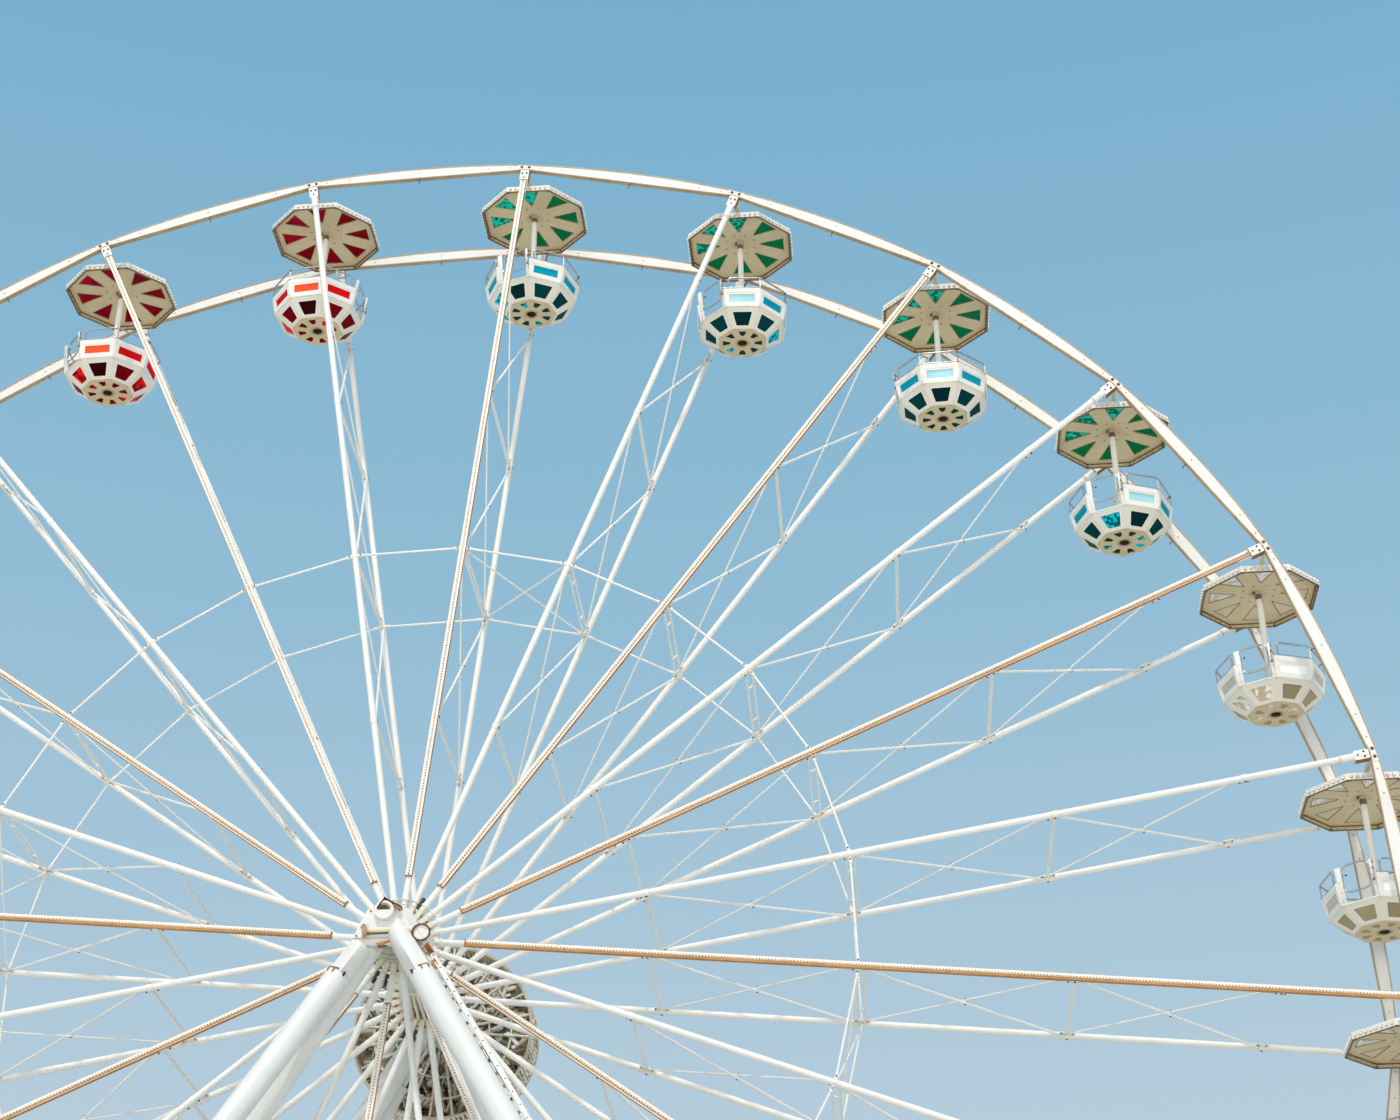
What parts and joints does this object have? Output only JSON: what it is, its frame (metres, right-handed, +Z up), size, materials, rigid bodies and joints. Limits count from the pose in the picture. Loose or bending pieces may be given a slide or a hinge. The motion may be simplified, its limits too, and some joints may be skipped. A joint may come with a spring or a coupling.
{
  "type": "ferris wheel",
  "caption": "Open-frame observation wheel on two A-frame towers, with level-hanging round open cabins under octagonal canopies.",
  "frame": {"origin": "on the ground under the hub, at the middle of the base frame", "axes": "+Z up; the wheel turns about Y; the front tower is on the -Y side; X runs across the wheel"},
  "size_m": [34.8662, 13.5892, 36.9447],
  "materials": {
    "white_paint": "weathered white gloss paint with small rust marks at the joints",
    "hub_paint": "white and grey-green paint, chalky and rust-streaked",
    "canopy_red": "beige underside with red tinted panes and a white edge",
    "canopy_green": "beige underside with green tinted panes and a white edge",
    "canopy_clear": "beige underside with clear peach panes and a white edge",
    "basket_red": "white tub with orange-red panes and a cream floor",
    "basket_blue": "white tub with blue and teal panes and a cream floor",
    "basket_white": "white tub with clear and white panes and a cream floor",
    "chrome": "polished bent tube",
    "red_glass": "orange-red tinted acrylic",
    "blue_glass": "blue and teal tinted acrylic",
    "green_glass": "green tinted acrylic",
    "clear_glass": "clear acrylic with a peach tint",
    "bulbs": "small cream lamp caps",
    "lamp_strip": "weathered orange-brown lamp backing",
    "rusty_steel": "rust-stained steel"
  },
  "bodies": {
    "stand": {"base_frame": "white_paint", "front_tower": "white_paint", "rear_tower": "white_paint"},
    "wheel": {"hub": "hub_paint", "front_rim": "white_paint", "rear_rim": "white_paint", "spokes_1": "white_paint", "spokes_2": "white_paint", "spokes_3": "white_paint", "spokes_4": "white_paint", "spokes_5": "white_paint", "spokes_6": "white_paint"},
    "cabin_01": {"canopy_01": "canopy_red"},
    "tub_01": {"basket_01": "basket_red"},
    "cabin_02": {"canopy_02": "canopy_red"},
    "tub_02": {"basket_02": "basket_red"},
    "cabin_03": {"canopy_03": "canopy_green"},
    "tub_03": {"basket_03": "basket_blue"},
    "cabin_04": {"canopy_04": "canopy_green"},
    "tub_04": {"basket_04": "basket_blue"},
    "cabin_05": {"canopy_05": "canopy_green"},
    "tub_05": {"basket_05": "basket_blue"},
    "cabin_06": {"canopy_06": "canopy_green"},
    "tub_06": {"basket_06": "basket_blue"},
    "cabin_07": {"canopy_07": "canopy_clear"},
    "tub_07": {"basket_07": "basket_white"},
    "cabin_08": {"canopy_08": "canopy_clear"},
    "tub_08": {"basket_08": "basket_white"},
    "cabin_09": {"canopy_09": "canopy_clear"},
    "tub_09": {"basket_09": "basket_white"},
    "cabin_10": {"canopy_10": "canopy_clear"},
    "tub_10": {"basket_10": "basket_white"},
    "cabin_11": {"canopy_11": "canopy_red"},
    "tub_11": {"basket_11": "basket_red"},
    "cabin_12": {"canopy_12": "canopy_red"},
    "tub_12": {"basket_12": "basket_red"},
    "cabin_13": {"canopy_13": "canopy_red"},
    "tub_13": {"basket_13": "basket_red"},
    "cabin_14": {"canopy_14": "canopy_red"},
    "tub_14": {"basket_14": "basket_red"},
    "cabin_15": {"canopy_15": "canopy_green"},
    "tub_15": {"basket_15": "basket_blue"},
    "cabin_16": {"canopy_16": "canopy_green"},
    "tub_16": {"basket_16": "basket_blue"},
    "cabin_17": {"canopy_17": "canopy_green"},
    "tub_17": {"basket_17": "basket_blue"},
    "cabin_18": {"canopy_18": "canopy_green"},
    "tub_18": {"basket_18": "basket_blue"},
    "cabin_19": {"canopy_19": "canopy_clear"},
    "tub_19": {"basket_19": "basket_white"},
    "cabin_20": {"canopy_20": "canopy_clear"},
    "tub_20": {"basket_20": "basket_white"},
    "cabin_21": {"canopy_21": "canopy_clear"},
    "tub_21": {"basket_21": "basket_white"},
    "cabin_22": {"canopy_22": "canopy_clear"},
    "tub_22": {"basket_22": "basket_white"},
    "cabin_23": {"canopy_23": "canopy_red"},
    "tub_23": {"basket_23": "basket_red"},
    "cabin_24": {"canopy_24": "canopy_red"},
    "tub_24": {"basket_24": "basket_red"}
  },
  "joints": [
    {"name": "wheel_spin", "type": "hinge", "parent": "stand", "child": "wheel", "pos_m": [0, 0, 20.4], "axis": [0, 1, 0], "continuous": true},
    {"name": "cabin_01_level", "type": "hinge", "parent": "wheel", "child": "cabin_01", "pos_m": [-6.77581, 0, 35.44455], "axis": [0, 1, 0], "continuous": true},
    {"name": "basket_01_turn", "type": "hinge", "parent": "cabin_01", "child": "tub_01", "pos_m": [-6.77581, 0, 35.44455], "axis": [0, 0, 1], "continuous": true},
    {"name": "cabin_02_level", "type": "hinge", "parent": "wheel", "child": "cabin_02", "pos_m": [-2.65112, 0, 36.68563], "axis": [0, 1, 0], "continuous": true},
    {"name": "basket_02_turn", "type": "hinge", "parent": "cabin_02", "child": "tub_02", "pos_m": [-2.65112, 0, 36.68563], "axis": [0, 0, 1], "continuous": true},
    {"name": "cabin_03_level", "type": "hinge", "parent": "wheel", "child": "cabin_03", "pos_m": [1.65425, 0, 36.81687], "axis": [0, 1, 0], "continuous": true},
    {"name": "basket_03_turn", "type": "hinge", "parent": "cabin_03", "child": "tub_03", "pos_m": [1.65425, 0, 36.81687], "axis": [0, 0, 1], "continuous": true},
    {"name": "cabin_04_level", "type": "hinge", "parent": "wheel", "child": "cabin_04", "pos_m": [5.84688, 0, 35.82932], "axis": [0, 1, 0], "continuous": true},
    {"name": "basket_04_turn", "type": "hinge", "parent": "cabin_04", "child": "tub_04", "pos_m": [5.84688, 0, 35.82932], "axis": [0, 0, 1], "continuous": true},
    {"name": "cabin_05_level", "type": "hinge", "parent": "wheel", "child": "cabin_05", "pos_m": [9.64105, 0, 33.7903], "axis": [0, 1, 0], "continuous": true},
    {"name": "basket_05_turn", "type": "hinge", "parent": "cabin_05", "child": "tub_05", "pos_m": [9.64105, 0, 33.7903], "axis": [0, 0, 1], "continuous": true},
    {"name": "cabin_06_level", "type": "hinge", "parent": "wheel", "child": "cabin_06", "pos_m": [12.77821, 0, 30.83875], "axis": [0, 1, 0], "continuous": true},
    {"name": "basket_06_turn", "type": "hinge", "parent": "cabin_06", "child": "tub_06", "pos_m": [12.77821, 0, 30.83875], "axis": [0, 0, 1], "continuous": true},
    {"name": "cabin_07_level", "type": "hinge", "parent": "wheel", "child": "cabin_07", "pos_m": [15.04455, 0, 27.17581], "axis": [0, 1, 0], "continuous": true},
    {"name": "basket_07_turn", "type": "hinge", "parent": "cabin_07", "child": "tub_07", "pos_m": [15.04455, 0, 27.17581], "axis": [0, 0, 1], "continuous": true},
    {"name": "cabin_08_level", "type": "hinge", "parent": "wheel", "child": "cabin_08", "pos_m": [16.28563, 0, 23.05112], "axis": [0, 1, 0], "continuous": true},
    {"name": "basket_08_turn", "type": "hinge", "parent": "cabin_08", "child": "tub_08", "pos_m": [16.28563, 0, 23.05112], "axis": [0, 0, 1], "continuous": true},
    {"name": "cabin_09_level", "type": "hinge", "parent": "wheel", "child": "cabin_09", "pos_m": [16.41687, 0, 18.74575], "axis": [0, 1, 0], "continuous": true},
    {"name": "basket_09_turn", "type": "hinge", "parent": "cabin_09", "child": "tub_09", "pos_m": [16.41687, 0, 18.74575], "axis": [0, 0, 1], "continuous": true},
    {"name": "cabin_10_level", "type": "hinge", "parent": "wheel", "child": "cabin_10", "pos_m": [15.42932, 0, 14.55312], "axis": [0, 1, 0], "continuous": true},
    {"name": "basket_10_turn", "type": "hinge", "parent": "cabin_10", "child": "tub_10", "pos_m": [15.42932, 0, 14.55312], "axis": [0, 0, 1], "continuous": true},
    {"name": "cabin_11_level", "type": "hinge", "parent": "wheel", "child": "cabin_11", "pos_m": [13.3903, 0, 10.75895], "axis": [0, 1, 0], "continuous": true},
    {"name": "basket_11_turn", "type": "hinge", "parent": "cabin_11", "child": "tub_11", "pos_m": [13.3903, 0, 10.75895], "axis": [0, 0, 1], "continuous": true},
    {"name": "cabin_12_level", "type": "hinge", "parent": "wheel", "child": "cabin_12", "pos_m": [10.43875, 0, 7.62179], "axis": [0, 1, 0], "continuous": true},
    {"name": "basket_12_turn", "type": "hinge", "parent": "cabin_12", "child": "tub_12", "pos_m": [10.43875, 0, 7.62179], "axis": [0, 0, 1], "continuous": true},
    {"name": "cabin_13_level", "type": "hinge", "parent": "wheel", "child": "cabin_13", "pos_m": [6.77581, 0, 5.35545], "axis": [0, 1, 0], "continuous": true},
    {"name": "basket_13_turn", "type": "hinge", "parent": "cabin_13", "child": "tub_13", "pos_m": [6.77581, 0, 5.35545], "axis": [0, 0, 1], "continuous": true},
    {"name": "cabin_14_level", "type": "hinge", "parent": "wheel", "child": "cabin_14", "pos_m": [2.65112, 0, 4.11437], "axis": [0, 1, 0], "continuous": true},
    {"name": "basket_14_turn", "type": "hinge", "parent": "cabin_14", "child": "tub_14", "pos_m": [2.65112, 0, 4.11437], "axis": [0, 0, 1], "continuous": true},
    {"name": "cabin_15_level", "type": "hinge", "parent": "wheel", "child": "cabin_15", "pos_m": [-1.65425, 0, 3.98313], "axis": [0, 1, 0], "continuous": true},
    {"name": "basket_15_turn", "type": "hinge", "parent": "cabin_15", "child": "tub_15", "pos_m": [-1.65425, 0, 3.98313], "axis": [0, 0, 1], "continuous": true},
    {"name": "cabin_16_level", "type": "hinge", "parent": "wheel", "child": "cabin_16", "pos_m": [-5.84688, 0, 4.97068], "axis": [0, 1, 0], "continuous": true},
    {"name": "basket_16_turn", "type": "hinge", "parent": "cabin_16", "child": "tub_16", "pos_m": [-5.84688, 0, 4.97068], "axis": [0, 0, 1], "continuous": true},
    {"name": "cabin_17_level", "type": "hinge", "parent": "wheel", "child": "cabin_17", "pos_m": [-9.64105, 0, 7.0097], "axis": [0, 1, 0], "continuous": true},
    {"name": "basket_17_turn", "type": "hinge", "parent": "cabin_17", "child": "tub_17", "pos_m": [-9.64105, 0, 7.0097], "axis": [0, 0, 1], "continuous": true},
    {"name": "cabin_18_level", "type": "hinge", "parent": "wheel", "child": "cabin_18", "pos_m": [-12.77821, 0, 9.96125], "axis": [0, 1, 0], "continuous": true},
    {"name": "basket_18_turn", "type": "hinge", "parent": "cabin_18", "child": "tub_18", "pos_m": [-12.77821, 0, 9.96125], "axis": [0, 0, 1], "continuous": true},
    {"name": "cabin_19_level", "type": "hinge", "parent": "wheel", "child": "cabin_19", "pos_m": [-15.04455, 0, 13.62419], "axis": [0, 1, 0], "continuous": true},
    {"name": "basket_19_turn", "type": "hinge", "parent": "cabin_19", "child": "tub_19", "pos_m": [-15.04455, 0, 13.62419], "axis": [0, 0, 1], "continuous": true},
    {"name": "cabin_20_level", "type": "hinge", "parent": "wheel", "child": "cabin_20", "pos_m": [-16.28563, 0, 17.74888], "axis": [0, 1, 0], "continuous": true},
    {"name": "basket_20_turn", "type": "hinge", "parent": "cabin_20", "child": "tub_20", "pos_m": [-16.28563, 0, 17.74888], "axis": [0, 0, 1], "continuous": true},
    {"name": "cabin_21_level", "type": "hinge", "parent": "wheel", "child": "cabin_21", "pos_m": [-16.41687, 0, 22.05425], "axis": [0, 1, 0], "continuous": true},
    {"name": "basket_21_turn", "type": "hinge", "parent": "cabin_21", "child": "tub_21", "pos_m": [-16.41687, 0, 22.05425], "axis": [0, 0, 1], "continuous": true},
    {"name": "cabin_22_level", "type": "hinge", "parent": "wheel", "child": "cabin_22", "pos_m": [-15.42932, 0, 26.24688], "axis": [0, 1, 0], "continuous": true},
    {"name": "basket_22_turn", "type": "hinge", "parent": "cabin_22", "child": "tub_22", "pos_m": [-15.42932, 0, 26.24688], "axis": [0, 0, 1], "continuous": true},
    {"name": "cabin_23_level", "type": "hinge", "parent": "wheel", "child": "cabin_23", "pos_m": [-13.3903, 0, 30.04105], "axis": [0, 1, 0], "continuous": true},
    {"name": "basket_23_turn", "type": "hinge", "parent": "cabin_23", "child": "tub_23", "pos_m": [-13.3903, 0, 30.04105], "axis": [0, 0, 1], "continuous": true},
    {"name": "cabin_24_level", "type": "hinge", "parent": "wheel", "child": "cabin_24", "pos_m": [-10.43875, 0, 33.17821], "axis": [0, 1, 0], "continuous": true},
    {"name": "basket_24_turn", "type": "hinge", "parent": "cabin_24", "child": "tub_24", "pos_m": [-10.43875, 0, 33.17821], "axis": [0, 0, 1], "continuous": true}
  ],
  "couplings": [
    {"joint": "cabin_01_level", "follows": "wheel_spin", "ratio": -1},
    {"joint": "cabin_02_level", "follows": "wheel_spin", "ratio": -1},
    {"joint": "cabin_03_level", "follows": "wheel_spin", "ratio": -1},
    {"joint": "cabin_04_level", "follows": "wheel_spin", "ratio": -1},
    {"joint": "cabin_05_level", "follows": "wheel_spin", "ratio": -1},
    {"joint": "cabin_06_level", "follows": "wheel_spin", "ratio": -1},
    {"joint": "cabin_07_level", "follows": "wheel_spin", "ratio": -1},
    {"joint": "cabin_08_level", "follows": "wheel_spin", "ratio": -1},
    {"joint": "cabin_09_level", "follows": "wheel_spin", "ratio": -1},
    {"joint": "cabin_10_level", "follows": "wheel_spin", "ratio": -1},
    {"joint": "cabin_11_level", "follows": "wheel_spin", "ratio": -1},
    {"joint": "cabin_12_level", "follows": "wheel_spin", "ratio": -1},
    {"joint": "cabin_13_level", "follows": "wheel_spin", "ratio": -1},
    {"joint": "cabin_14_level", "follows": "wheel_spin", "ratio": -1},
    {"joint": "cabin_15_level", "follows": "wheel_spin", "ratio": -1},
    {"joint": "cabin_16_level", "follows": "wheel_spin", "ratio": -1},
    {"joint": "cabin_17_level", "follows": "wheel_spin", "ratio": -1},
    {"joint": "cabin_18_level", "follows": "wheel_spin", "ratio": -1},
    {"joint": "cabin_19_level", "follows": "wheel_spin", "ratio": -1},
    {"joint": "cabin_20_level", "follows": "wheel_spin", "ratio": -1},
    {"joint": "cabin_21_level", "follows": "wheel_spin", "ratio": -1},
    {"joint": "cabin_22_level", "follows": "wheel_spin", "ratio": -1},
    {"joint": "cabin_23_level", "follows": "wheel_spin", "ratio": -1},
    {"joint": "cabin_24_level", "follows": "wheel_spin", "ratio": -1}
  ]
}
